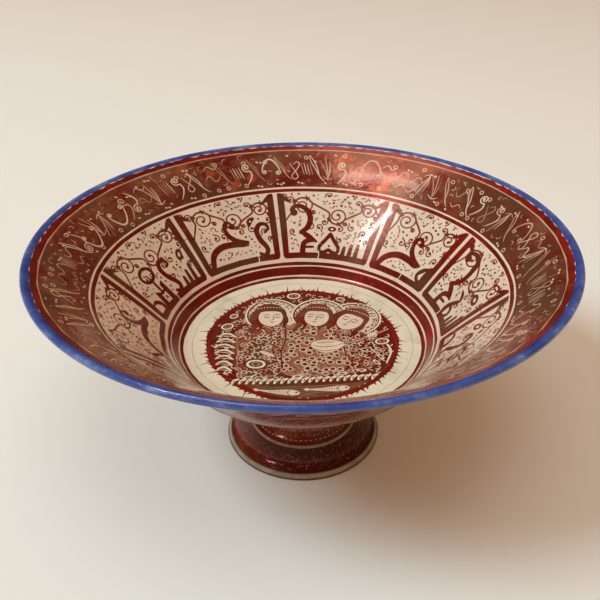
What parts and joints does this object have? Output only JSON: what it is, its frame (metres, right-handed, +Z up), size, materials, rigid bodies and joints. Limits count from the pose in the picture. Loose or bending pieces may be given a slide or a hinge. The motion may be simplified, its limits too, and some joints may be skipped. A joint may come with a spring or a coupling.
{
  "type": "footed bowl",
  "caption": "Wide flaring glazed bowl with a flat floor, standing on a hollow stem and a splayed round foot.",
  "frame": {"origin": "centre of the foot ring's flat underside, on the plane that the bowl stands on", "axes": "+Z up along the bowl's turning axis, out of its mouth; the bowl is round, so +X and +Y only fix the turn of the painted figures, which stand upright for a viewer at -Y looking along +Y"},
  "size_m": [0.32, 0.32, 0.1503],
  "materials": {
    "lustre_glaze": "gloss opaque glaze painted with metallic lustre"
  },
  "bodies": {
    "root": {"footed_bowl": "lustre_glaze"}
  },
  "joints": []
}
